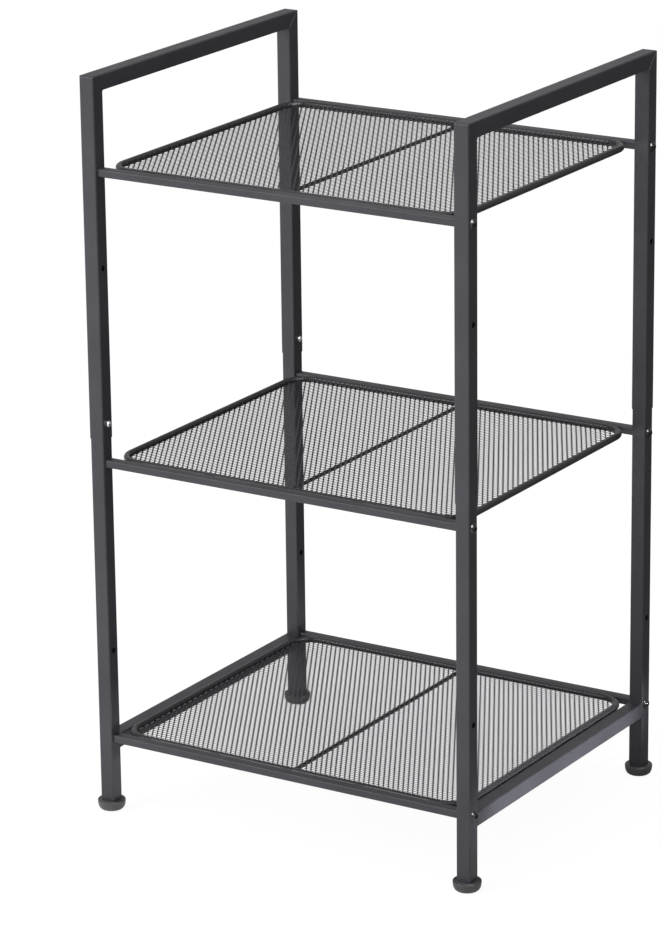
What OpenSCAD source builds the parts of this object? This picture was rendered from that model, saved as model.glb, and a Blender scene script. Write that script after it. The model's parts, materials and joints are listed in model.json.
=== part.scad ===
// Three-tier bathroom shelf rack, in millimetres.
// Two inverted-U upper frames plug onto two lower frames through inner connectors,
// each held by a sprung snap button. Three mesh trays bolt between the uprights.
// The rack stands on the floor at Z = 0, centred on X and Y, with its front towards -Y.

/* [Rack] */
// Overall width over the uprights, along X
rack_w = 420; // [340:5:520]
// Overall depth over the uprights, along Y
rack_d = 358; // [300:1:460]
// Height of the handle bars above the floor
rack_h = 736; // [710:1:860]
// Height of the seam between the upper and lower uprights
seam_h = 381.5; // [330:0.5:430]

/* [Shelf heights] */
// Top of the bottom shelf's rails above the floor
bottom_shelf_h = 79.5; // [72:0.5:120]
// Top of the middle shelf's rails below the seam
middle_shelf_drop = 20; // [18:0.5:60]
// Top of the top shelf's rails above the floor
top_shelf_h = 647.5; // [600:0.5:670]

/* [Tubes] */
// Side of the square tube of the upper frames
post_side = 16; // [15:0.5:20]
// Wall of the upper tube
post_wall = 1; // [0.8:0.1:1.4]
// Wall of the lower tube
leg_wall = 0.8; // [0.7:0.1:1.2]
// Outer corner radius of the square tubes
tube_round = 1.6; // [1.5:0.1:2.2]
// Radius that the ground weld leaves on the outer corners of the handle bars
mitre_round = 2.4; // [1.6:0.1:2.6]
// Height of the top face of the bottom side rails
side_rail_h = 77.4; // [68:0.1:90]

/* [Connectors] */
// Play between a connector and the inside of the upper tube, on each side
connector_play = 0.3; // [0.2:0.05:0.5]
// Wall of the connector tube
connector_wall = 1.2; // [0.8:0.1:1.6]
// Length of the connector inside the upper tube
connector_up = 40; // [32:1:60]
// Length of the connector below the middle shelf's bolts, which pass through it
connector_tail = 21; // [8:1:50]

/* [Snap buttons] */
// Diameter of the button
button_d = 6; // [5:0.5:7]
// Height of the button above the seam
button_up = 15; // [12:0.5:22]
// How far the button stands out of the upper tube
button_out = 3.2; // [2:0.1:4]
// Gap round the button in its holes
button_play = 0.2; // [0.1:0.05:0.4]
// Thickness of the spring strip behind the button
spring_t = 0.6; // [0.4:0.1:0.8]
// Length of the spring strip below the button
spring_len = 26; // [20:1:30]

/* [Shelf rails] */
// Height of a rail's section
rail_h = 8; // [7.5:0.5:12]
// Depth of a rail's section
rail_d = 10; // [9:0.5:14]
// Wall of a rail
rail_wall = 0.9; // [0.6:0.1:1.1]
// Length of the threaded plug in each rail end
plug_len = 16; // [14:1:25]

/* [Bolts] */
// Diameter of the bolt
bolt_d = 5; // [4:0.5:5]
// Diameter of the bolt's domed head
bolt_head_d = 11; // [8.5:0.5:12]
// Height of the bolt's head
bolt_head_h = 3.3; // [2.4:0.1:3.6]
// Hexagon socket in the bolt's head, across its flats
bolt_socket = 4; // [2.5:0.5:4]
// Length of bolt inside the rail of the top shelf
bolt_grip = 12; // [9:0.5:13]
// Diameter of the bolt holes and of the spare holes in the uprights
upright_hole_d = 6; // [5.5:0.1:6.6]

/* [Spare holes] */
// Height of the spare hole in each upper post
upper_spare_h = 550; // [440:1:590]
// Height of the spare hole in each leg
lower_spare_h = 166; // [135:1:280]

/* [Trays] */
// Diameter of the rim wire
rim_wire = 6.5; // [5:0.25:7.5]
// Outer corner radius of the rim
rim_round = 28; // [20:1:45]
// Gap between the rim and the uprights along X
rim_side_gap = 0.4; // [0.3:0.1:6]
// Gap between the rim and the rails, filled by weld
rim_rail_gap = 0.2; // [0.1:0.05:0.3]
// Height of the rim above the rails
rim_proud = 0.75; // [0.25:0.25:1.5]
// Depth of the mesh floor below the rail tops
mesh_drop = 3; // [2:0.25:3.5]
// Thickness of the mesh
mesh_t = 1; // [0.8:0.1:1.5]
// Width of the plain edge round the coarse mesh
mesh_hem = 8; // [5:0.5:14]
// Diamonds of the coarse mesh across the tray, along X
mesh_cols = 9; // [6:1:9]
// Diamonds of the coarse mesh from front to back, along Y
mesh_rows = 4; // [3:1:4]
// Width of a mesh strand
mesh_strand = 3; // [2:0.25:4]
// Diameter of the cross wire under the mesh
cross_wire_d = 4; // [3:0.25:5]

/* [Feet] */
// Height of a foot cap below the leg
foot_h = 10; // [8:0.5:14]
// Radius of the foot cap's lip
foot_r = 13.75; // [12:0.25:18]
// Radius of the flat that meets the floor
foot_flat_r = 9.2; // [7:0.1:11]
// Length of the foot's plug inside the leg
foot_plug = 15; // [10:1:24]
// Play between the foot's plug and the leg, on each side
foot_play = 0.25; // [0.1:0.05:0.3]

/* [Hidden] */
$fn = 48;
TINY = 0.01;
BIG = 100;

// Upright tubes: the leg is sized so that one connector fits both tubes
post_in = post_side - 2 * post_wall;
connector_side = post_in - 2 * connector_play;
leg_side = connector_side + 2 * leg_wall;
post_x = rack_w / 2 - post_side / 2;
post_y = rack_d / 2 - post_side / 2;
leg_in_round = tube_round - leg_wall;
post_in_round = tube_round - post_wall;
connector_round = max(leg_in_round, post_in_round) + 0.1;
connector_in = connector_side - 2 * connector_wall;
connector_down = middle_shelf_drop + rail_h / 2 + connector_tail;
middle_shelf_h = seam_h - middle_shelf_drop;

// Snap buttons: travel is what takes the dome inside the connector's face
button_h = seam_h + button_up;
button_hole_d = button_d + 2 * button_play;
button_tip = post_side / 2 + button_out;
button_dome = 0.27 * button_d;
button_flange_t = 1;
button_flange_d = button_d + 3;
spring_w = button_d;
spring_bend_r = 1.6;
spring_pad = 4;

// Shelves: name, height of the rail tops, side of the tube that they bolt to
SHELVES = [
    ["top_shelf", top_shelf_h, post_side],
    ["middle_shelf", middle_shelf_h, leg_side],
    ["bottom_shelf", bottom_shelf_h, leg_side]
];
plug_w = rail_d - 2 * rail_wall;
plug_h = rail_h - 2 * rail_wall;
rail_round = 1.6;
bolt_len = post_side + bolt_grip;
bolt_thread_gap = 0.05;
socket_depth = 0.6 * bolt_head_h;

// Tray heights, measured from the rail tops
rim_r = rim_wire / 2;
rim_centre = rim_proud - rim_r;
mesh_low = -mesh_drop - mesh_t;
cross_wire_z = mesh_low - cross_wire_d / 2;
mesh_seat_gap = 0.15;
bead_gap = 0.05;

// Corners: name, side along X, side along Y
CORNERS = [
    ["front_left", -1, -1],
    ["front_right", 1, -1],
    ["back_left", -1, 1],
    ["back_right", 1, 1]
];
SIDES = [["left", -1], ["right", 1]];
FACES = [["front", -1], ["back", 1]];
CORNER_PIECES = ["upper_post", "leg", "connector", "snap_button", "button_spring", "foot"];
SHELF_PIECES = ["rim", "mesh", "cross_wire", "threaded_plugs", "bolts"];

function tube_inner_x(side) = post_x - side / 2;
function rim_half_x() = rack_w / 2 - post_side - rim_side_gap;
function rim_half_y() = post_y - rail_d / 2 - rim_rail_gap;
// Half thickness of the rim wire at a height measured from its centre
function rim_half_at(dz) = sqrt(max(0, rim_r * rim_r - dz * dz));
function mesh_inset() =
    rim_r + rim_half_at(min(rim_r, max(0, rim_centre + mesh_drop))) + mesh_seat_gap;

// Square with round corners, built from exact arcs
module round_square(w, d, r) {
    square([w - 2 * r, d], center = true);
    square([w, d - 2 * r], center = true);
    for (x = [-1, 1], y = [-1, 1])
        translate([x * (w / 2 - r), y * (d / 2 - r)]) circle(r);
}

module tube_section(w, d, wall, r) {
    difference() {
        round_square(w, d, r);
        round_square(w - 2 * wall, d - 2 * wall, max(r - wall, 0.2));
    }
}

// Hole along X through one or both walls of an upright
// u0 and u1 are measured from the tube's centre towards the rack's middle
module wall_hole(sx, sy, z, d, u0, u1) {
    translate([sx * post_x, sy * post_y, z])
        rotate([0, -sx * 90, 0])
            translate([0, 0, u0]) cylinder(h = u1 - u0, d = d);
}

// Turns a piece drawn along +Z so that it points from an upright to the rack's middle
module toward_middle(sx) {
    rotate([0, -sx * 90, 0]) children();
}

// Wedge above (upper = true) or below the 45 degree weld line at a handle corner
module mitre_wedge(sx, sy, upper) {
    translate([sx * post_x, sy * rack_d / 2, rack_h])
        rotate([sy * 45, 0, 0])
            translate([-BIG / 2, -BIG / 2, upper ? 0 : -BIG]) cube(BIG);
}

// Rounded outline along X that the ground welds of a side frame keep to
module ground_outline(sx) {
    translate([sx * post_x, 0, rack_h / 2])
        rotate([90, 0, 90])
            linear_extrude(BIG, center = true)
                round_square(rack_d, rack_h, mitre_round);
}

module upper_post(sx, sy) {
    color([0.2, 0.2, 0.21])
        difference() {
            intersection() {
                translate([sx * post_x, sy * post_y, seam_h])
                    linear_extrude(rack_h - seam_h)
                        tube_section(post_side, post_side, post_wall, tube_round);
                ground_outline(sx);
            }
            mitre_wedge(sx, sy, true);
            for (h = [top_shelf_h - rail_h / 2, upper_spare_h])
                wall_hole(sx, sy, h, upright_hole_d, -post_side, post_side);
            wall_hole(sx, sy, button_h, button_hole_d, 0, post_side);
        }
}

// Welded across the tops of two upper posts, with both ends mitred
module handle_bar(sx) {
    color([0.2, 0.2, 0.21])
        difference() {
            intersection() {
                translate([sx * post_x, rack_d / 2, rack_h - post_side / 2])
                    rotate([90, 0, 0])
                        linear_extrude(rack_d)
                            tube_section(post_side, post_side, post_wall, tube_round);
                ground_outline(sx);
            }
            mitre_wedge(sx, -1, false);
            mitre_wedge(sx, 1, false);
        }
}

module leg(sx, sy) {
    color([0.2, 0.2, 0.21])
        difference() {
            translate([sx * post_x, sy * post_y, foot_h])
                linear_extrude(seam_h - foot_h)
                    tube_section(leg_side, leg_side, leg_wall, tube_round);
            for (h = [middle_shelf_h - rail_h / 2, bottom_shelf_h - rail_h / 2, lower_spare_h])
                wall_hole(sx, sy, h, upright_hole_d, -leg_side, leg_side);
        }
}

// Lower side rail, welded between the front and back legs
module side_rail(sx) {
    rail_half = post_y - leg_side / 2;
    color([0.2, 0.2, 0.21])
        translate([sx * post_x, rail_half, side_rail_h - leg_side / 2])
            rotate([90, 0, 0])
                linear_extrude(2 * rail_half)
                    tube_section(leg_side, leg_side, leg_wall, tube_round);
}

// Inner tube that is fixed in the leg and slides into the upper post
module connector(sx, sy) {
    color([0.55, 0.56, 0.58])
        difference() {
            translate([sx * post_x, sy * post_y, seam_h - connector_down])
                linear_extrude(connector_down + connector_up)
                    tube_section(connector_side, connector_side, connector_wall, connector_round);
            wall_hole(sx, sy, button_h, button_hole_d, 0, connector_side);
            wall_hole(sx, sy, middle_shelf_h - rail_h / 2,
                upright_hole_d, -connector_side, connector_side);
        }
}

// Domed pin with a flange that stops it against the inside of the connector
module snap_button(sx, sy) {
    flange_back = connector_in / 2 - button_flange_t;
    dome_r = (pow(button_d / 2, 2) + pow(button_dome, 2)) / (2 * button_dome);
    color([0.82, 0.83, 0.84])
        translate([sx * post_x, sy * post_y, button_h])
            toward_middle(sx)
                union() {
                    translate([0, 0, flange_back])
                        cylinder(h = button_flange_t, d = button_flange_d);
                    intersection() {
                        translate([0, 0, flange_back])
                            cylinder(h = button_tip - flange_back, d = button_d);
                        union() {
                            translate([0, 0, button_tip - dome_r]) sphere(dome_r, $fn = 64);
                            translate([0, 0, flange_back - TINY])
                                cylinder(h = button_tip - button_dome - flange_back + TINY,
                                    d = button_d + 1);
                        }
                    }
                }
}

// Bent spring strip: one arm lies on the connector's far wall, the other backs the button
module button_spring(sx, sy) {
    wall_u = -connector_in / 2;
    bend_z = -spring_len;
    arm_u = wall_u + 2 * spring_bend_r;
    pad_u = connector_in / 2 - button_flange_t;
    color([0.7, 0.71, 0.73])
        translate([sx * post_x, sy * post_y, button_h])
            scale_side(sx)
                rotate([90, 0, 0])
                    translate([0, 0, -spring_w / 2])
                        linear_extrude(spring_w)
                            union() {
                                translate([wall_u, bend_z]) square([spring_t, spring_len]);
                                translate([wall_u + spring_bend_r, bend_z])
                                    difference() {
                                        circle(spring_bend_r);
                                        circle(spring_bend_r - spring_t);
                                        translate([-BIG / 2, 0]) square(BIG);
                                    }
                                polygon([
                                    [arm_u - spring_t, bend_z],
                                    [arm_u, bend_z],
                                    [pad_u, -spring_pad],
                                    [pad_u - spring_t, -spring_pad]
                                ]);
                                translate([pad_u - spring_t, -spring_pad])
                                    square([spring_t, 2 * spring_pad]);
                            }
}

// Mirrors a piece drawn for the left side onto the right side
module scale_side(sx) {
    if (sx > 0) mirror([1, 0, 0]) children();
    else children();
}

// Push-in cap with a rounded bowl below and a square plug inside the leg
module foot(sx, sy) {
    plug_side = leg_side - 2 * leg_wall - 2 * foot_play;
    lip_z = foot_h - 0.6;
    lip_in = foot_r - 0.7;
    steps = 8;
    bowl = [for (i = [0:steps])
        let (a = 90 * i / steps)
            [foot_flat_r + (foot_r - foot_flat_r) * sin(a), lip_z * (1 - cos(a))]];
    color([0.08, 0.08, 0.09])
        translate([sx * post_x, sy * post_y, 0])
            union() {
                rotate_extrude($fn = 64)
                    polygon(concat([[0, 0]], bowl, [[lip_in, foot_h], [0, foot_h]]));
                translate([0, 0, foot_h - TINY])
                    linear_extrude(foot_plug + TINY)
                        round_square(plug_side, plug_side, 1);
            }
}

module shelf_rail(shelf, sy) {
    side = shelf[2];
    half = tube_inner_x(side);
    color([0.2, 0.2, 0.21])
        translate([-half, sy * post_y, shelf[1] - rail_h / 2])
            rotate([90, 0, 90])
                linear_extrude(2 * half)
                    tube_section(rail_d, rail_h, rail_wall, rail_round);
}

// Threaded plugs, one pressed into each rail end
module threaded_plugs(shelf) {
    side = shelf[2];
    color([0.6, 0.61, 0.62])
        for (sx = [-1, 1], sy = [-1, 1])
            translate([sx * tube_inner_x(side), sy * post_y, shelf[1] - rail_h / 2])
                rotate([90, 0, -sx * 90])
                    linear_extrude(plug_len)
                        difference() {
                            round_square(plug_w, plug_h, max(rail_round - rail_wall, 0.2));
                            circle(d = bolt_d);
                        }
}

// Domed bolts through the uprights into the plugs
module bolts(shelf) {
    side = shelf[2];
    head_r = bolt_head_d / 2;
    dome_r = (head_r * head_r + bolt_head_h * bolt_head_h) / (2 * bolt_head_h);
    color([0.25, 0.25, 0.26])
        for (sx = [-1, 1], sy = [-1, 1])
            translate([sx * (post_x + side / 2), sy * post_y, shelf[1] - rail_h / 2])
                toward_middle(sx)
                    union() {
                        cylinder(h = bolt_len, d = bolt_d - 2 * bolt_thread_gap);
                        difference() {
                            intersection() {
                                translate([0, 0, dome_r - bolt_head_h]) sphere(dome_r, $fn = 64);
                                translate([0, 0, -bolt_head_h])
                                    cylinder(h = bolt_head_h, r = head_r + 1);
                            }
                            translate([0, 0, -bolt_head_h - TINY])
                                linear_extrude(socket_depth + TINY)
                                    circle(d = bolt_socket / cos(30), $fn = 6);
                        }
                    }
}

// Closed loop of round wire with rounded corners
module rim(shelf) {
    line_x = rim_half_x() - rim_r;
    line_y = rim_half_y() - rim_r;
    line_r = rim_round - rim_r;
    run_x = line_x - line_r;
    run_y = line_y - line_r;
    color([0.16, 0.16, 0.17])
        translate([0, 0, shelf[1] + rim_centre])
            union() {
                for (sy = [-1, 1])
                    translate([-run_x, sy * line_y, 0])
                        rotate([0, 90, 0]) cylinder(h = 2 * run_x, r = rim_r);
                for (sx = [-1, 1])
                    translate([sx * line_x, run_y, 0])
                        rotate([90, 0, 0]) cylinder(h = 2 * run_y, r = rim_r);
                for (q = [[1, 1, 0], [-1, 1, 90], [-1, -1, 180], [1, -1, 270]])
                    translate([q[0] * run_x, q[1] * run_y, 0])
                        rotate([0, 0, q[2]])
                            rotate_extrude(angle = 90, $fn = 96)
                                translate([line_r, 0]) circle(rim_r);
            }
}

// Coarse mesh floor: staggered diamonds inside a plain edge
module tray_mesh(shelf) {
    half_x = rim_half_x() - mesh_inset();
    half_y = rim_half_y() - mesh_inset();
    corner = max(rim_round - mesh_inset(), 2);
    open_x = half_x - mesh_hem;
    open_y = half_y - mesh_hem;
    short_way = 2 * open_x / mesh_cols;
    long_way = 2 * open_y / mesh_rows;
    color([0.14, 0.14, 0.15])
        translate([0, 0, shelf[1] + mesh_low])
            linear_extrude(mesh_t)
                difference() {
                    round_square(2 * half_x, 2 * half_y, corner);
                    intersection() {
                        round_square(2 * open_x, 2 * open_y, max(corner - mesh_hem, 1));
                        for (i = [0:2 * mesh_cols], j = [0:2 * mesh_rows])
                            if ((i + j) % 2 == 1)
                                translate([i * short_way / 2 - open_x, j * long_way / 2 - open_y])
                                    diamond(short_way, long_way, mesh_strand);
                    }
                }
}

// Diamond hole that leaves a strand of the given width to its neighbours
module diamond(short_way, long_way, strand) {
    edge = sqrt(short_way * short_way + long_way * long_way);
    keep = 1 - strand * edge / (short_way * long_way);
    polygon(keep / 2 * [[short_way, 0], [0, long_way], [-short_way, 0], [0, -long_way]]);
}

// Wire under the middle of the mesh, welded to the rim at both ends
module cross_wire(shelf) {
    half = rim_half_y() - rim_r - rim_half_at(mesh_low - rim_centre) - bead_gap;
    color([0.16, 0.16, 0.17])
        translate([0, half, shelf[1] + cross_wire_z])
            rotate([90, 0, 0]) cylinder(h = 2 * half, d = cross_wire_d);
}

for (c = CORNERS) {
    upper_post(c[1], c[2]);
    leg(c[1], c[2]);
    connector(c[1], c[2]);
    snap_button(c[1], c[2]);
    button_spring(c[1], c[2]);
    foot(c[1], c[2]);
}
for (s = SIDES) {
    handle_bar(s[1]);
    side_rail(s[1]);
}
for (t = SHELVES) {
    for (f = FACES)
        shelf_rail(t, f[1]);
    rim(t);
    tray_mesh(t);
    cross_wire(t);
    threaded_plugs(t);
    bolts(t);
}
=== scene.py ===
import json
import math

import bmesh
import bpy
from mathutils import Matrix, Vector

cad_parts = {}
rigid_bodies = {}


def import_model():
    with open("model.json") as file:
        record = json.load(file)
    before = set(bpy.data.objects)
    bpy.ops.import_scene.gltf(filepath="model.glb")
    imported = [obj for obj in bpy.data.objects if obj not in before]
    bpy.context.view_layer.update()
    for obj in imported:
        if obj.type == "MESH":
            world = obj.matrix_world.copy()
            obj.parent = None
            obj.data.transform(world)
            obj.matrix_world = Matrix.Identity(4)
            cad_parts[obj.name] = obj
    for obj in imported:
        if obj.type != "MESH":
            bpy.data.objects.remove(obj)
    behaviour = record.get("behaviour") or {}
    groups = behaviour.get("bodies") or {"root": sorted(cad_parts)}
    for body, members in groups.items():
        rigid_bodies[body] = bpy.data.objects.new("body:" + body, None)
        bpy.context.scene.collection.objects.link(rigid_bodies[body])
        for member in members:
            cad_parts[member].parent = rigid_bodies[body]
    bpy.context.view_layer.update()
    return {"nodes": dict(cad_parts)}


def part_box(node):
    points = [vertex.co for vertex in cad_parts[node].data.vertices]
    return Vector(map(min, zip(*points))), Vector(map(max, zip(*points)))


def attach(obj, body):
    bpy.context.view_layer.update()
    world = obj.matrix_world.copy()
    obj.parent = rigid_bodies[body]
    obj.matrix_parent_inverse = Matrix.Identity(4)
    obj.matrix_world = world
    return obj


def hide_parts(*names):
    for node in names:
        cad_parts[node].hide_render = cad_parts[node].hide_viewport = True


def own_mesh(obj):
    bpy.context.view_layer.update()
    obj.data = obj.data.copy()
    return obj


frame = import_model()


# Studio floor: one wide sheet of white board under the rack, which runs past the
# view on all sides. The camera sees it evenly white. In reflections and bounce light
# it has a painted glow, and its glow and whiteness are painted bright at the front
# left and fade to painted shade at the back right, so the steel mirrors painted light.
MM = 0.001
FLOOR_HALF = 16.0
FLOOR_DROP = 0.1 * MM
BOARD_ROUGHNESS, BOARD_GLOSS = 0.9, 0.1
FLOOR_WHITE, FLOOR_GLOW = 0.12, 0.93
# Seen only in reflections and bounces: a painted glow and whiteness, faded into painted shade
# towards the back right.
MIRRORED_WHITE, MIRRORED_PAINTED_GLOW = 0.9, 0.42
PAINTED_LIGHT_TOWARDS = (-0.6, -0.8, 0)
PAINTED_SHADE_AT, PAINTED_LIGHT_AT = -0.5, 0.4
PAINTED_SHADE_SHARE = 0.14

floor_mesh = bpy.data.meshes.new("studio_floor")
floor_bm = bmesh.new()
bmesh.ops.create_grid(floor_bm, x_segments=1, y_segments=1, size=FLOOR_HALF)
bmesh.ops.translate(floor_bm, verts=floor_bm.verts, vec=(0, 0, -FLOOR_DROP))
floor_bm.to_mesh(floor_mesh)
floor_bm.free()
studio_floor = bpy.data.objects.new("studio_floor", floor_mesh)
bpy.context.collection.objects.link(studio_floor)

white_board = bpy.data.materials.new("white_board")
white_board.use_nodes = True
board_nodes, board_links = white_board.node_tree.nodes, white_board.node_tree.links
board = board_nodes["Principled BSDF"]
board.inputs["Roughness"].default_value = BOARD_ROUGHNESS
board.inputs["Specular IOR Level"].default_value = BOARD_GLOSS
board.inputs["Emission Color"].default_value = (1, 1, 1, 1)
board_place = board_nodes.new("ShaderNodeNewGeometry")
board_dot = board_nodes.new("ShaderNodeVectorMath")
board_dot.operation = "DOT_PRODUCT"
board_dot.inputs[1].default_value = PAINTED_LIGHT_TOWARDS
# Painted light and shade on the floor: bright towards the front left, dark towards the back right.
painted_floor_shade = board_nodes.new("ShaderNodeMapRange")
painted_floor_shade.interpolation_type = "SMOOTHSTEP"
painted_floor_shade.inputs["From Min"].default_value = PAINTED_SHADE_AT
painted_floor_shade.inputs["From Max"].default_value = PAINTED_LIGHT_AT
painted_floor_shade.inputs["To Min"].default_value = PAINTED_SHADE_SHARE
painted_floor_shade.inputs["To Max"].default_value = 1.0
board_ray = board_nodes.new("ShaderNodeLightPath")
board_links.new(board_place.outputs["Position"], board_dot.inputs[0])
board_links.new(board_dot.outputs["Value"], painted_floor_shade.inputs["Value"])
# Camera rays see the even white; all other rays see the painted glow and painted shade.
for socket, seen, mirrored in (
        ("Base Color", FLOOR_WHITE, MIRRORED_WHITE),
        ("Emission Strength", FLOOR_GLOW, MIRRORED_PAINTED_GLOW)):
    share = board_nodes.new("ShaderNodeMath")
    share.operation = "MULTIPLY"
    share.inputs[1].default_value = mirrored
    pick = board_nodes.new("ShaderNodeMix")
    pick.inputs["B"].default_value = seen
    board_links.new(painted_floor_shade.outputs["Result"], share.inputs[0])
    board_links.new(board_ray.outputs["Is Camera Ray"], pick.inputs["Factor"])
    board_links.new(share.outputs[0], pick.inputs["A"])
    board_links.new(pick.outputs["Result"], board.inputs[socket])
floor_mesh.materials.append(white_board)


# Studio light: a large soft box at the front left and a smaller one overhead, two small
# lamps for the left posts and the right side rail, and a box at the right that shows
# only in glossy surfaces. The room round them is dim, and brighter on the left.
LAMPS = {  # where it is, what it faces, width and height in metres, watts, spread in degrees
    "front_left_box": ((-2.2, -3.0, 2.2), (0, 0, 0.35), (2.2, 2.2), 74, 180),
    "overhead_box": ((-0.3, -0.2, 3.2), (0, 0, 0.3), (2.0, 2.0), 14, 180),
    "inner_box": ((0.12, 0.22, 1.15), (-0.19, 0.1, 0.45), (0.16, 0.3), 0.4, 180),
    "rail_strip": ((0.62, 0.0, 0.07), (0.2, 0, 0.07), (0.3, 0.008), 0.16, 14),
    "glint_box": ((2.06, -0.96, 2.29), (0.2, 0, 0.37), (1.9, 1.9), 90, 180),
}
OUT_OF_SIGHT = ("inner_box", "rail_strip", "glint_box")
GLINTS_ONLY = ("glint_box",)
ROOM_LIGHT_FROM = (-0.62, -0.6, 0.5)
ROOM_DIM_AT, ROOM_BRIGHT_AT = -0.6, 1.0
ROOM_DIM, ROOM_BRIGHT = 0.36, 0.66
ROOM_SEEN = 1.05

for old in list(bpy.data.objects):
    if old.type in ("LIGHT", "CAMERA"):
        bpy.data.objects.remove(old)
for name, (place, aim, size, watts, spread) in LAMPS.items():
    light = bpy.data.lights.new(name, "AREA")
    light.shape = "RECTANGLE"
    light.size, light.size_y = size
    light.energy = watts
    light.spread = math.radians(spread)
    lamp = bpy.data.objects.new(name, light)
    lamp.location = place
    lamp.rotation_mode = "QUATERNION"
    lamp.rotation_quaternion = (Vector(aim) - Vector(place)).to_track_quat("-Z", "Y")
    lamp.visible_camera = name not in OUT_OF_SIGHT
    lamp.visible_diffuse = name not in GLINTS_ONLY
    bpy.context.collection.objects.link(lamp)

room = bpy.data.worlds.new("studio_room")
bpy.context.scene.world = room
room.use_nodes = True
room_nodes, room_links = room.node_tree.nodes, room.node_tree.links
room_back = room_nodes["Background"]
room_way = room_nodes.new("ShaderNodeTexCoord")
room_dot = room_nodes.new("ShaderNodeVectorMath")
room_dot.operation = "DOT_PRODUCT"
room_dot.inputs[1].default_value = Vector(ROOM_LIGHT_FROM).normalized()
room_fade = room_nodes.new("ShaderNodeMapRange")
room_fade.inputs["From Min"].default_value = ROOM_DIM_AT
room_fade.inputs["From Max"].default_value = ROOM_BRIGHT_AT
room_fade.inputs["To Min"].default_value = ROOM_DIM
room_fade.inputs["To Max"].default_value = ROOM_BRIGHT
room_ray = room_nodes.new("ShaderNodeLightPath")
room_wall = room_nodes.new("ShaderNodeMix")
room_wall.data_type = "RGBA"
wall_share, wall_lit, wall_seen = (room_wall.inputs[k] for k in (0, 6, 7))
wall_seen.default_value = (ROOM_SEEN, ROOM_SEEN, ROOM_SEEN, 1)
room_links.new(room_way.outputs["Generated"], room_dot.inputs[0])
room_links.new(room_dot.outputs["Value"], room_fade.inputs["Value"])
room_links.new(room_ray.outputs["Is Camera Ray"], wall_share)
room_links.new(room_fade.outputs["Result"], wall_lit)
room_links.new(room_wall.outputs[2], room_back.inputs["Color"])
bpy.context.scene.view_settings.view_transform = "Standard"


# Camera: a long lens at eye height, from the front right, as in the picture.
# It was fitted to the corners of the tubes, with no shift and all of the rack in view.
CAMERA_PLACE = (2.0497, -3.3525, 1.5786)
CAMERA_AZIMUTH, CAMERA_ELEVATION, CAMERA_ROLL = 32.071, 17.521, -0.710
CAMERA_LENS, CAMERA_SENSOR = 164.18, 36.0

camera_data = bpy.data.cameras.new("studio_camera")
camera_data.lens = CAMERA_LENS
camera_data.sensor_width = CAMERA_SENSOR
camera = bpy.data.objects.new("studio_camera", camera_data)
bpy.context.collection.objects.link(camera)
cam_az, cam_el, cam_roll = (
    math.radians(a) for a in (CAMERA_AZIMUTH, CAMERA_ELEVATION, CAMERA_ROLL))
cam_right = Vector((math.cos(cam_az), math.sin(cam_az), 0))
cam_ahead = Vector((
    -math.sin(cam_az) * math.cos(cam_el), math.cos(cam_az) * math.cos(cam_el),
    -math.sin(cam_el)))
cam_up = cam_right.cross(cam_ahead)
rolled_right = cam_right * math.cos(cam_roll) + cam_up * math.sin(cam_roll)
rolled_up = cam_up * math.cos(cam_roll) - cam_right * math.sin(cam_roll)
camera.matrix_world = Matrix.Translation(CAMERA_PLACE) @ Matrix(
    (rolled_right, rolled_up, -cam_ahead)).transposed().to_4x4()
bpy.context.scene.camera = camera


# Side frames: square steel tube, mitred and welded into two upside-down U shapes
# that plug onto two lower frames. All of it is powder coated near black.
SIDES = {"left": -1, "right": 1}
CORNERS = {
    "front_left": (-1, -1), "front_right": (1, -1),
    "back_left": (-1, 1), "back_right": (1, 1),
}
COAT_COLOUR = (0.031, 0.0308, 0.0392)
COAT_ROUGHNESS, COAT_GLOSS = 0.44, 0.5
COAT_PEEL_MM, COAT_PEEL_HIGH_MM, PEEL_STRENGTH = 1.3, 0.05, 0.6
PATCH_MM, PATCH_SHARE = 55, 0.16
SPECK_MM, SPECK_SHARE = 1.1, 0.08
SHEEN_MM, SHEEN_SHARE = 18, 0.05
SOFT_NOISE, CRISP_NOISE = (0.3, 0.7), (0.35, 0.65)


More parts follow.
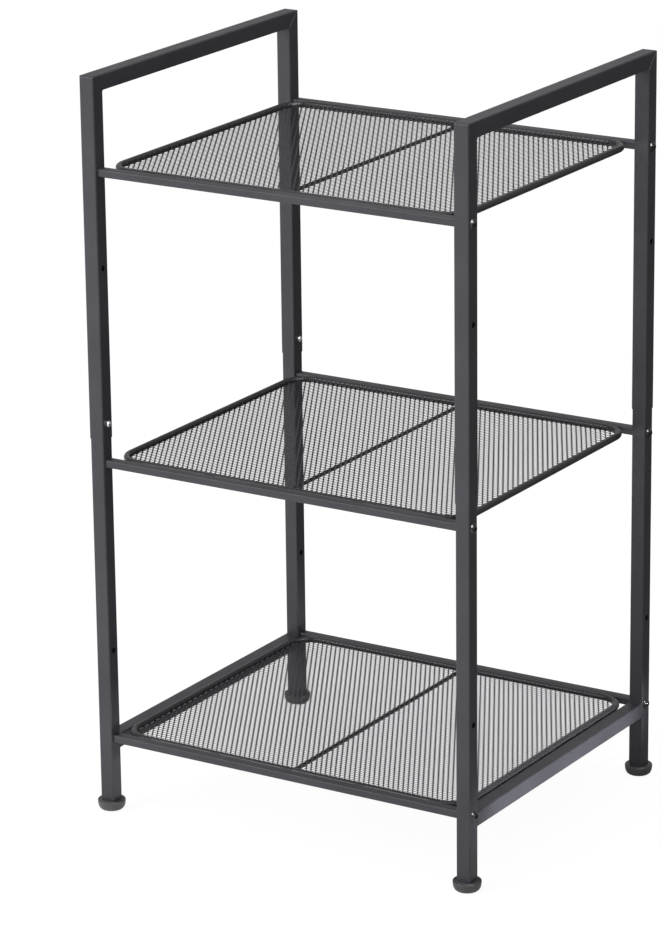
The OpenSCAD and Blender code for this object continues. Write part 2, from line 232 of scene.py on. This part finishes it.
def coated(name, colour, roughness, peel_mm, peel_high_mm):
    """Powder coat: an even near black with soft patches and a fine orange peel."""
    mat = bpy.data.materials.new(name)
    mat.use_nodes = True
    nodes, links = mat.node_tree.nodes, mat.node_tree.links
    shader = nodes["Principled BSDF"]
    shader.inputs["Specular IOR Level"].default_value = COAT_GLOSS
    where = nodes.new("ShaderNodeTexCoord")

    def noise(size_mm, detail):
        tex = nodes.new("ShaderNodeTexNoise")
        tex.inputs["Scale"].default_value = 1 / (size_mm * MM)
        tex.inputs["Detail"].default_value = detail
        links.new(where.outputs["Object"], tex.inputs["Vector"])
        return tex

    def graded(tex, middle, share, noise_span):
        ramp = nodes.new("ShaderNodeMapRange")
        ramp.inputs["From Min"].default_value = noise_span[0]
        ramp.inputs["From Max"].default_value = noise_span[1]
        ramp.inputs["To Min"].default_value = middle - share
        ramp.inputs["To Max"].default_value = middle + share
        links.new(tex.outputs[0], ramp.inputs["Value"])
        return ramp

    patches = graded(noise(PATCH_MM, 3), 1, PATCH_SHARE, SOFT_NOISE)
    specks = graded(noise(SPECK_MM, 2), 1, SPECK_SHARE, CRISP_NOISE)
    both = nodes.new("ShaderNodeMath")
    both.operation = "MULTIPLY"
    links.new(patches.outputs[0], both.inputs[0])
    links.new(specks.outputs[0], both.inputs[1])
    tint = nodes.new("ShaderNodeVectorMath")
    tint.operation = "SCALE"
    tint.inputs[0].default_value = colour
    links.new(both.outputs[0], tint.inputs["Scale"])
    links.new(tint.outputs[0], shader.inputs["Base Color"])
    sheen = graded(noise(SHEEN_MM, 4), roughness, SHEEN_SHARE, SOFT_NOISE)
    links.new(sheen.outputs[0], shader.inputs["Roughness"])
    peel = nodes.new("ShaderNodeBump")
    peel.inputs["Distance"].default_value = peel_high_mm * MM
    peel.inputs["Strength"].default_value = PEEL_STRENGTH
    links.new(noise(peel_mm, 2).outputs[0], peel.inputs["Height"])
    links.new(peel.outputs[0], shader.inputs["Normal"])
    return mat


def dress(node, mat):
    """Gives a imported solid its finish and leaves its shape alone."""
    solid = frame["nodes"][node]
    solid.data.materials.clear()
    solid.data.materials.append(mat)


tube_coat = coated(
    "tube_powder_coat", COAT_COLOUR, COAT_ROUGHNESS, COAT_PEEL_MM, COAT_PEEL_HIGH_MM)
for corner in CORNERS:
    dress("upper_post_" + corner, tube_coat)
    dress("leg_" + corner, tube_coat)
for side in SIDES:
    dress("handle_bar_" + side, tube_coat)
    dress("side_rail_" + side, tube_coat)


# Weld lines of the side frames: a low bead runs round each mitred corner of the
# handle bars and is ground off at its outer end. Another runs round each end of
# the lower side rails, where they meet a leg.
MITRE_BEAD, MITRE_BEAD_SUNK = 0.55 * MM, 0.15 * MM
RAIL_BEAD, RAIL_BEAD_SUNK = 0.7 * MM, 0.35 * MM
GROUND_OFF = 1.4 * MM
BEAD_CORNER_R = 1.6 * MM
BEAD_SIDES, BEAD_CORNER_STEPS = 8, 3
MERGE_SHARE = 0.01
CRISP_FROM = math.radians(50)


def wire_loop(bm, half_u, half_v, round_r, wire_r, sides, corner_steps):
    """Sweeps a round wire along a rounded rectangle in the XY plane."""
    run_u, run_v = half_u - round_r, half_v - round_r
    made = bmesh.ops.create_circle(
        bm, segments=sides, radius=wire_r,
        matrix=Matrix.Translation((half_u, -run_v, 0)) @ Matrix.Rotation(math.pi / 2, 4, "X"))
    ring = [e for e in bm.edges if all(v in made["verts"] for v in e.verts)]
    everything = list(made["verts"])
    turn_at = ((run_u, run_v), (-run_u, run_v), (-run_u, -run_v), (run_u, -run_v))
    step = ((0, 2 * run_v), (-2 * run_u, 0), (0, -2 * run_v), (2 * run_u, 0))
    for (cx, cy), (dx, dy) in zip(turn_at, step):
        out = bmesh.ops.extrude_edge_only(bm, edges=ring)["geom"]
        moved = [g for g in out if isinstance(g, bmesh.types.BMVert)]
        bmesh.ops.translate(bm, verts=moved, vec=(dx, dy, 0))
        everything += moved
        ring = [g for g in out if isinstance(g, bmesh.types.BMEdge)
                and all(v in moved for v in g.verts)]
        before = set(bm.verts)
        spun = bmesh.ops.spin(
            bm, geom=ring, cent=(cx, cy, 0), axis=(0, 0, 1), angle=math.pi / 2,
            steps=corner_steps, use_duplicate=False)["geom_last"]
        everything += [v for v in bm.verts if v not in before]
        ring = [g for g in spun if isinstance(g, bmesh.types.BMEdge)]
    loop = [v for v in everything if v.is_valid]
    bmesh.ops.remove_doubles(bm, verts=loop, dist=wire_r * MERGE_SHARE)
    return [v for v in loop if v.is_valid]


def placed(name, bm, mat, body):
    """Turns a finished bmesh into a piece on its body, smooth but for its crisp corners."""
    mesh = bpy.data.meshes.new(name)
    bm.to_mesh(mesh)
    bm.free()
    mesh.materials.append(mat)
    mesh.shade_smooth()
    mesh.set_sharp_from_angle(angle=CRISP_FROM)
    piece = bpy.data.objects.new(name, mesh)
    bpy.context.collection.objects.link(piece)
    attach(piece, body)
    return piece


weld_coat = coated(
    "weld_bead_coat", COAT_COLOUR, roughness=0.38, peel_mm=0.9, peel_high_mm=0.12)
bar_lo, bar_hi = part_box("handle_bar_right")
tube_half = (bar_hi.x - bar_lo.x) / 2
for side, sx in SIDES.items():
    bm = bmesh.new()
    for sy in (-1, 1):
        verts = wire_loop(
            bm, tube_half - MITRE_BEAD_SUNK, tube_half * math.sqrt(2) - GROUND_OFF / 2,
            BEAD_CORNER_R, MITRE_BEAD, BEAD_SIDES, BEAD_CORNER_STEPS)
        bmesh.ops.translate(bm, verts=verts, vec=(0, -sy * GROUND_OFF / 2, 0))
        bmesh.ops.rotate(bm, verts=verts, cent=(0, 0, 0),
                         matrix=Matrix.Rotation(sy * math.radians(45), 3, "X"))
        bmesh.ops.translate(bm, verts=verts, vec=(
            sx * (bar_lo.x + tube_half), sy * (bar_hi.y - tube_half), bar_hi.z - tube_half))
    bmesh.ops.recalc_face_normals(bm, faces=bm.faces)
    placed("mitre_weld_" + side, bm, weld_coat, "rack")

rail_lo, rail_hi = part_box("side_rail_right")
lower_half = (rail_hi.x - rail_lo.x) / 2
for side, sx in SIDES.items():
    bm = bmesh.new()
    for sy in (-1, 1):
        verts = wire_loop(
            bm, lower_half - RAIL_BEAD_SUNK, lower_half - RAIL_BEAD_SUNK,
            BEAD_CORNER_R, RAIL_BEAD, BEAD_SIDES, BEAD_CORNER_STEPS)
        bmesh.ops.rotate(bm, verts=verts, cent=(0, 0, 0),
                         matrix=Matrix.Rotation(math.radians(90), 3, "X"))
        bmesh.ops.translate(bm, verts=verts, vec=(
            sx * (rail_lo.x + lower_half), sy * rail_hi.y, rail_hi.z - lower_half))
    bmesh.ops.recalc_face_normals(bm, faces=bm.faces)
    placed("side_rail_weld_" + side, bm, weld_coat, "rack")


# Connectors and snap buttons: zinc plated inner tubes in the legs, each with a
# bright domed pin on a bent spring strip that clicks into the upper post.
GRAIN_DARK, GRAIN_LIGHT = 0.85, 1.08
GRAIN_SMOOTH, GRAIN_DULL = 0.7, 1.3
GRAIN_STRENGTH = 0.5


def metal(name, colour, roughness, grain_mm, stretch, grain_high_mm):
    """Plated or bare steel with fine drawn lines along Z."""
    mat = bpy.data.materials.new(name)
    mat.use_nodes = True
    nodes, links = mat.node_tree.nodes, mat.node_tree.links
    shader = nodes["Principled BSDF"]
    shader.inputs["Metallic"].default_value = 1.0
    where = nodes.new("ShaderNodeTexCoord")
    drawn = nodes.new("ShaderNodeMapping")
    drawn.inputs["Scale"].default_value = (1, 1, 1 / stretch)
    links.new(where.outputs["Object"], drawn.inputs["Vector"])
    grain = nodes.new("ShaderNodeTexNoise")
    grain.inputs["Scale"].default_value = 1 / (grain_mm * MM)
    grain.inputs["Detail"].default_value = 3
    links.new(drawn.outputs[0], grain.inputs["Vector"])
    shade = nodes.new("ShaderNodeMapRange")
    shade.inputs["To Min"].default_value = GRAIN_DARK
    shade.inputs["To Max"].default_value = GRAIN_LIGHT
    links.new(grain.outputs[0], shade.inputs["Value"])
    tint = nodes.new("ShaderNodeVectorMath")
    tint.operation = "SCALE"
    tint.inputs[0].default_value = colour
    links.new(shade.outputs[0], tint.inputs["Scale"])
    links.new(tint.outputs[0], shader.inputs["Base Color"])
    dull = nodes.new("ShaderNodeMapRange")
    dull.inputs["To Min"].default_value = roughness * GRAIN_SMOOTH
    dull.inputs["To Max"].default_value = roughness * GRAIN_DULL
    links.new(grain.outputs[0], dull.inputs["Value"])
    links.new(dull.outputs[0], shader.inputs["Roughness"])
    bump = nodes.new("ShaderNodeBump")
    bump.inputs["Distance"].default_value = grain_high_mm * MM
    bump.inputs["Strength"].default_value = GRAIN_STRENGTH
    links.new(grain.outputs[0], bump.inputs["Height"])
    links.new(bump.outputs[0], shader.inputs["Normal"])
    return mat


zinc_plate = metal(
    "zinc_plate", colour=(0.52, 0.53, 0.55), roughness=0.4,
    grain_mm=0.6, stretch=6, grain_high_mm=0.03)
button_plate = metal(
    "bright_button_plate", colour=(0.93, 0.93, 0.91), roughness=0.26,
    grain_mm=0.5, stretch=1, grain_high_mm=0.01)
for corner in CORNERS:
    dress("connector_" + corner, zinc_plate)
    dress("snap_button_" + corner, button_plate)


# Button springs: a strip of spring steel bent back on itself. One arm lies on the
# connector's outer wall and the other backs the button. On the real rack the arms close
# when it is pressed, a hair more than the button travels; here each strip is a still
# copy of the imported one, fixed to the rack.
MERGE_WITHIN = 0.001 * MM

spring_steel = metal(
    "bare_spring_steel", colour=(0.45, 0.45, 0.46), roughness=0.32,
    grain_mm=0.4, stretch=9, grain_high_mm=0.02)
for corner, (sx, _) in CORNERS.items():
    lo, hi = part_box("button_spring_" + corner)
    strip_node = frame["nodes"]["button_spring_" + corner]
    bm = bmesh.new()
    bm.from_mesh(strip_node.data)
    bmesh.ops.transform(bm, matrix=strip_node.matrix_world, verts=bm.verts)
    bmesh.ops.remove_doubles(bm, verts=bm.verts, dist=MERGE_WITHIN)
    strip = placed("spring_strip_" + corner, bm, spring_steel, "rack")
    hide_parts("button_spring_" + corner)
    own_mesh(strip)


# Foot caps: black moulded plastic bowls under the legs. The side curves out to
# a soft lip, a shallow groove runs inside the lip, and a plug grips the leg.
FOOT_PROFILE = (  # radius and height in mm, from the middle of the underside to the plug's top
    (0, 0.35), (7.6, 0.35), (8.1, 0.0), (9.2, 0.0), (10.6, 0.5), (11.9, 1.6), (12.8, 3.1),
    (13.35, 5.0), (13.65, 7.0), (13.75, 8.7), (13.7, 9.4), (13.45, 9.85), (13.05, 9.98),
    (12.6, 9.85), (12.25, 9.5), (11.7, 9.3), (11.2, 9.45), (10.9, 9.9), (10.5, 10.0),
    (6.3, 10.0), (6.2, 24.4), (5.8, 25.0), (0, 25.0))
FOOT_STEPS = 48
PLASTIC_DARK, PLASTIC_LIGHT = (0.042, 0.042, 0.044, 1), (0.078, 0.078, 0.081, 1)
PLASTIC_SMOOTH, PLASTIC_DULL = 0.34, 0.5
PLASTIC_GRAIN_MM, PLASTIC_CLOUD_MM = 0.5, 9
PLASTIC_GRAIN_HIGH_MM, PLASTIC_GRAIN_STRENGTH = 0.04, 0.6

plastic = bpy.data.materials.new("moulded_black_plastic")
plastic.use_nodes = True
plastic_nodes, plastic_links = plastic.node_tree.nodes, plastic.node_tree.links
plastic_shader = plastic_nodes["Principled BSDF"]
plastic_where = plastic_nodes.new("ShaderNodeTexCoord")
plastic_grain = plastic_nodes.new("ShaderNodeTexNoise")
plastic_grain.inputs["Scale"].default_value = 1 / (PLASTIC_GRAIN_MM * MM)
plastic_grain.inputs["Detail"].default_value = 3
plastic_cloud = plastic_nodes.new("ShaderNodeTexNoise")
plastic_cloud.inputs["Scale"].default_value = 1 / (PLASTIC_CLOUD_MM * MM)
plastic_tint = plastic_nodes.new("ShaderNodeValToRGB")
plastic_tint.color_ramp.elements[0].color = PLASTIC_DARK
plastic_tint.color_ramp.elements[1].color = PLASTIC_LIGHT
plastic_dull = plastic_nodes.new("ShaderNodeMapRange")
plastic_dull.inputs["To Min"].default_value = PLASTIC_SMOOTH
plastic_dull.inputs["To Max"].default_value = PLASTIC_DULL
plastic_bump = plastic_nodes.new("ShaderNodeBump")
plastic_bump.inputs["Distance"].default_value = PLASTIC_GRAIN_HIGH_MM * MM
plastic_bump.inputs["Strength"].default_value = PLASTIC_GRAIN_STRENGTH
for tex in (plastic_grain, plastic_cloud):
    plastic_links.new(plastic_where.outputs["Object"], tex.inputs["Vector"])
plastic_links.new(plastic_cloud.outputs[0], plastic_tint.inputs[0])
plastic_links.new(plastic_tint.outputs[0], plastic_shader.inputs["Base Color"])
plastic_links.new(plastic_cloud.outputs[0], plastic_dull.inputs["Value"])
plastic_links.new(plastic_dull.outputs[0], plastic_shader.inputs["Roughness"])
plastic_links.new(plastic_grain.outputs[0], plastic_bump.inputs["Height"])
plastic_links.new(plastic_bump.outputs[0], plastic_shader.inputs["Normal"])


def turned(bm, profile, steps):
    """Spins a profile of radius and height pairs in mm into a closed body."""
    points = [bm.verts.new((r * MM, 0, h * MM)) for r, h in profile]
    edges = [bm.edges.new(pair) for pair in zip(points, points[1:])]
    bmesh.ops.spin(bm, geom=points + edges, cent=(0, 0, 0), axis=(0, 0, 1),
                   angle=2 * math.pi, steps=steps, use_merge=True)
    bmesh.ops.remove_doubles(bm, verts=bm.verts, dist=MERGE_WITHIN)
    bmesh.ops.recalc_face_normals(bm, faces=bm.faces)


for corner in CORNERS:
    lo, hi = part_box("foot_" + corner)
    bm = bmesh.new()
    turned(bm, FOOT_PROFILE, FOOT_STEPS)
    bmesh.ops.translate(bm, verts=bm.verts, vec=((lo.x + hi.x) / 2, (lo.y + hi.y) / 2, 0))
    foot_cap = placed("foot_cap_" + corner, bm, plastic, "rack")
    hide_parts("foot_" + corner)


# Trays: two flat section tubes carry each tray at the front and back. A round wire
# rim with a cross wire under it is fixed between them with small weld tacks.
SHELVES = ("top_shelf", "middle_shelf", "bottom_shelf")
TACKS_ACROSS = (-0.84, -0.42, 0.0, 0.42, 0.84)
TACK_SIZE, TACK_RISE = (7.0 * MM, 0.9 * MM, 1.3 * MM), 1.3 * MM
WIRE_TACK_SIZE, WIRE_TACK_RISE = (2.6 * MM, 1.5 * MM, 1.3 * MM), 0.8 * MM
TACK_STEPS_ROUND, TACK_STEPS_HIGH = 12, 8

rail_coat = coated(
    "rail_powder_coat", COAT_COLOUR, COAT_ROUGHNESS, COAT_PEEL_MM, COAT_PEEL_HIGH_MM)
rim_coat = coated(
    "rim_wire_coat", (0.022, 0.023, 0.026), roughness=0.28, peel_mm=1.1, peel_high_mm=0.04)
for shelf in SHELVES:
    dress(shelf + "_front_rail", rail_coat)
    dress(shelf + "_back_rail", rail_coat)
    dress(shelf + "_rim", rim_coat)
    dress(shelf + "_cross_wire", rim_coat)
    dress(shelf + "_threaded_plugs", zinc_plate)

for shelf in SHELVES:
    rim_lo, rim_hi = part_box(shelf + "_rim")
    wire_lo, wire_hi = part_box(shelf + "_cross_wire")
    rim_tack_z = (rim_lo.z + rim_hi.z) / 2 + TACK_RISE
    wire_tack_z = (wire_lo.z + wire_hi.z) / 2 + WIRE_TACK_RISE
    tacks = [(share * rim_hi.x, rim_hi.y, rim_tack_z, TACK_SIZE) for share in TACKS_ACROSS]
    tacks.append((0, wire_hi.y, wire_tack_z, WIRE_TACK_SIZE))
    bm = bmesh.new()
    for sy in (-1, 1):
        for x, y, z, size in tacks:
            bmesh.ops.create_uvsphere(
                bm, u_segments=TACK_STEPS_ROUND, v_segments=TACK_STEPS_HIGH, radius=1,
                matrix=Matrix.Translation((x, sy * y, z)) @ Matrix.Diagonal((*size, 1)))
    placed(shelf + "_weld_tacks", bm, weld_coat, "rack")


# Tray floors: black expanded metal. Strands run from front to back in zigzags
# that touch at each bond. All round, the sheet's edge is turned up and pressed
# against the inner side of the rim wire.
SHORT_WAY, LONG_WAY = 5.4 * MM, 9.6 * MM
STRAND_WIDE, STRAND_THICK = 1.3 * MM, 0.42 * MM
STRAND_LEAN = math.radians(-8)
BOND_LONG, BOND_OVERLAP = 1.0 * MM, 0.08 * MM
EDGE_TURNS_UP_TO = math.radians(48)
EDGE_CUTS, CORNER_CUTS = 4, 6
CUT_WITHIN = 1e-7
RIM_CORNER_R = 28 * MM

mesh_coat = coated(
    "mesh_wire_coat", (0.02, 0.0197, 0.0255), roughness=0.4, peel_mm=0.7, peel_high_mm=0.03)


def strand(bm, x, way, start_y, periods):
    """One zigzag strand as a closed bar, extruded along its length."""
    inner = SHORT_WAY / 2 - STRAND_WIDE + BOND_OVERLAP
    lean = Matrix.Rotation(STRAND_LEAN, 4, "Y")
    section = bmesh.ops.create_grid(
        bm, x_segments=1, y_segments=1, size=0.5,
        matrix=Matrix.Translation((x, start_y, 0)) @ lean
        @ Matrix.Diagonal((STRAND_WIDE, 1, STRAND_THICK, 1)) @ Matrix.Rotation(math.pi / 2, 4, "X"))
    face = section["verts"][0].link_faces[0]
    slope_long = LONG_WAY / 2 - BOND_LONG
    for half in range(2 * periods):
        shift = way * inner * (1 if half % 2 == 0 else -1)
        for dx, dy in ((0, BOND_LONG), (shift, slope_long)):
            out = bmesh.ops.extrude_face_region(bm, geom=[face, *face.edges])["geom"]
            bmesh.ops.translate(
                bm, verts=[g for g in out if isinstance(g, bmesh.types.BMVert)], vec=(dx, dy, 0))
            face = [g for g in out if isinstance(g, bmesh.types.BMFace)][0]


def cut_round(bm, half_x, half_y, round_r, clear):
    """Cuts the strands along a rounded rectangle and clears what lies outside on request."""
    planes = [(Vector((sx * half_x, 0, 0)), Vector((sx, 0, 0)), None) for sx in (-1, 1)]
    planes += [(Vector((0, sy * half_y, 0)), Vector((0, sy, 0)), None) for sy in (-1, 1)]
    for sx, sy in CORNERS.values():
        middle = Vector((sx * (half_x - round_r), sy * (half_y - round_r), 0))
        for k in range(CORNER_CUTS):
            turn = math.radians(90 * (k + 0.5) / CORNER_CUTS)
            out = Vector((sx * math.cos(turn), sy * math.sin(turn), 0))
            planes.append((middle + out * round_r, out, (sx, sy)))
    for place, out, corner in planes:
        near = []
        for f in bm.faces:
            c = f.verts[0].co
            if (c - place).dot(out) < -LONG_WAY:
                continue
            if corner and (corner[0] * c.x < half_x - round_r - LONG_WAY
                           or corner[1] * c.y < half_y - round_r - LONG_WAY):
                continue
            near.append(f)
        geom = list(dict.fromkeys(g for f in near for g in (f, *f.edges, *f.verts)))
        bmesh.ops.bisect_plane(
            bm, geom=geom, dist=CUT_WITHIN, plane_co=place, plane_no=out, clear_outer=clear)


def turn_up(point, half_x, half_y, round_r, turn_r, start):
    """Where a point of the flat sheet goes when its edge is bent round the rim wire."""
    mid_x, mid_y = half_x - round_r, half_y - round_r
    ax, ay = abs(point.x), abs(point.y)
    out = Vector((max(ax - mid_x, 0), max(ay - mid_y, 0)))
    if ax < mid_x and ay < mid_y or out.length <= round_r:
        return point
    past = out.length - round_r
    out.normalize()
    turn = start + past / turn_r
    reach = turn_r * math.cos(start) - (turn_r + point.z) * math.cos(turn) - past
    return Vector((
        point.x + math.copysign(out.x, point.x) * reach,
        point.y + math.copysign(out.y, point.y) * reach,
        (turn_r + point.z) * math.sin(turn) - turn_r * math.sin(start)))


def expanded_floor(half_x, half_y, round_r, turn_r, start):
    """The whole sheet with its centre plane at zero, as mesh data for all three trays."""
    edge_long = (EDGE_TURNS_UP_TO - start) * turn_r
    pair = bmesh.new()
    periods = math.ceil(2 * (half_y + edge_long) / LONG_WAY) + 1
    start_y = -periods * LONG_WAY / 2
    for way in (-1, 1):
        strand(pair, SHORT_WAY / 2 + way * (STRAND_WIDE - BOND_OVERLAP) / 2, way, start_y, periods)
    mesh = bpy.data.meshes.new("expanded_sheet")
    pair.to_mesh(mesh)
    pair.free()
    bm = bmesh.new()
    pairs = math.ceil((half_x + edge_long) / SHORT_WAY) + 1
    for k in range(-pairs, pairs):
        before = len(bm.verts)
        bm.from_mesh(mesh)
        bm.verts.ensure_lookup_table()
        bmesh.ops.translate(bm, verts=bm.verts[before:], vec=(k * SHORT_WAY, 0, 0))
    for step in range(EDGE_CUTS, -1, -1):
        grow = edge_long * step / EDGE_CUTS
        cut_round(bm, half_x + grow, half_y + grow, round_r + grow, step == EDGE_CUTS)
    open_edges = [e for e in bm.edges if e.is_boundary]
    bmesh.ops.holes_fill(bm, edges=open_edges, sides=0)
    for v in bm.verts:
        v.co = turn_up(v.co, half_x, half_y, round_r, turn_r, start)
    bmesh.ops.recalc_face_normals(bm, faces=bm.faces)
    bm.to_mesh(mesh)
    bm.free()
    return mesh


rim_lo, rim_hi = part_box("bottom_shelf_rim")
sheet_lo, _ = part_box("bottom_shelf_mesh")
wire_r = (rim_hi.z - rim_lo.z) / 2
lean_rise = (STRAND_THICK + STRAND_WIDE * abs(math.sin(STRAND_LEAN))) / 2
press_r = wire_r + STRAND_THICK / 2
press_start = math.asin((sheet_lo.z + lean_rise - rim_lo.z - wire_r) / press_r)
sheet_mesh = expanded_floor(
    rim_hi.x - wire_r - press_r * math.cos(press_start),
    rim_hi.y - wire_r - press_r * math.cos(press_start),
    RIM_CORNER_R - wire_r - press_r * math.cos(press_start), press_r, press_start)
for shelf in SHELVES:
    lo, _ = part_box(shelf + "_mesh")
    bm = bmesh.new()
    bm.from_mesh(sheet_mesh)
    bmesh.ops.translate(bm, verts=bm.verts, vec=(0, 0, lo.z + lean_rise))
    floor_piece = placed(shelf + "_expanded_floor", bm, mesh_coat, "rack")
    floor_piece.data.shade_flat()
    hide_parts(shelf + "_mesh")
bpy.data.meshes.remove(sheet_mesh)


# Bolts: black plated button heads with a hexagon socket. Each goes through an
# upright into the threaded plug in the end of a tray's rail.
SOCKET_FLATS, SOCKET_DEEP, SOCKET_LIP = 4.0, 1.9, 0.22
HEAD_RADIUS, HEAD_HIGH = 5.5, 3.3
DOME_RADII = (2.6, 3.1, 3.7, 4.3, 4.85, 5.25)
HEAD_EDGE_IN, HEAD_EDGE_HIGH = 0.12, 0.18
SHANK_RADIUS, SHANK_LONG, SHANK_TIP = 2.45, 28.0, 0.6
BOLT_STEPS = 24

bolt_black = metal(
    "bolt_black_plate", colour=(0.09, 0.09, 0.094), roughness=0.17,
    grain_mm=0.6, stretch=1, grain_high_mm=0.006)


def button_bolt(bm):
    """One bolt along Z: its head's flat side lies at zero, its shank goes down."""
    made = bmesh.ops.create_circle(bm, cap_ends=True, segments=BOLT_STEPS, radius=1)["verts"]
    everything = list(made)

    def shaped(verts, radius, height, hexagonal):
        for v in verts:
            turn = math.atan2(v.co.y, v.co.x)
            r = radius
            if hexagonal:
                r = radius / math.cos((turn % math.radians(60)) - math.radians(30))
            v.co = Vector((math.cos(turn) * r, math.sin(turn) * r, height)) * MM

    dome_r = (HEAD_RADIUS ** 2 + HEAD_HIGH ** 2) / (2 * HEAD_HIGH)
    rings = [(SOCKET_FLATS / 2, HEAD_HIGH - SOCKET_DEEP, True),
             (SOCKET_FLATS / 2, HEAD_HIGH - SOCKET_LIP, True)]
    for r in DOME_RADII:
        rings.append((r, math.sqrt(dome_r ** 2 - r * r) - dome_r + HEAD_HIGH, False))
    rings += [(HEAD_RADIUS, HEAD_EDGE_HIGH, False), (HEAD_RADIUS - HEAD_EDGE_IN, 0, False),
              (SHANK_RADIUS, 0, False), (SHANK_RADIUS, -SHANK_LONG + SHANK_TIP, False),
              (SHANK_RADIUS - SHANK_TIP, -SHANK_LONG, False)]
    shaped(made, *rings[0])
    ring = [e for e in bm.edges if all(v in made for v in e.verts)]
    for spec in rings[1:]:
        out = bmesh.ops.extrude_edge_only(bm, edges=ring)["geom"]
        moved = [g for g in out if isinstance(g, bmesh.types.BMVert)]
        everything += moved
        ring = [g for g in out if isinstance(g, bmesh.types.BMEdge)
                and all(v in moved for v in g.verts)]
        shaped(moved, *spec)
    bmesh.ops.contextual_create(bm, geom=ring)
    return everything


for shelf in SHELVES:
    lo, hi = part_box(shelf + "_bolts")
    face_x, bolt_y, bolt_z = hi.x - HEAD_HIGH * MM, hi.y - HEAD_RADIUS * MM, (lo.z + hi.z) / 2
    bm = bmesh.new()
    for sx, sy in CORNERS.values():
        verts = button_bolt(bm)
        bmesh.ops.rotate(bm, verts=verts, cent=(0, 0, 0),
                         matrix=Matrix.Rotation(sx * math.radians(90), 3, "Y"))
        bmesh.ops.translate(bm, verts=verts, vec=(sx * face_x, sy * bolt_y, bolt_z))
    bmesh.ops.recalc_face_normals(bm, faces=bm.faces)
    bolt_set = placed(shelf + "_button_bolts", bm, bolt_black, "rack")
    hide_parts(shelf + "_bolts")
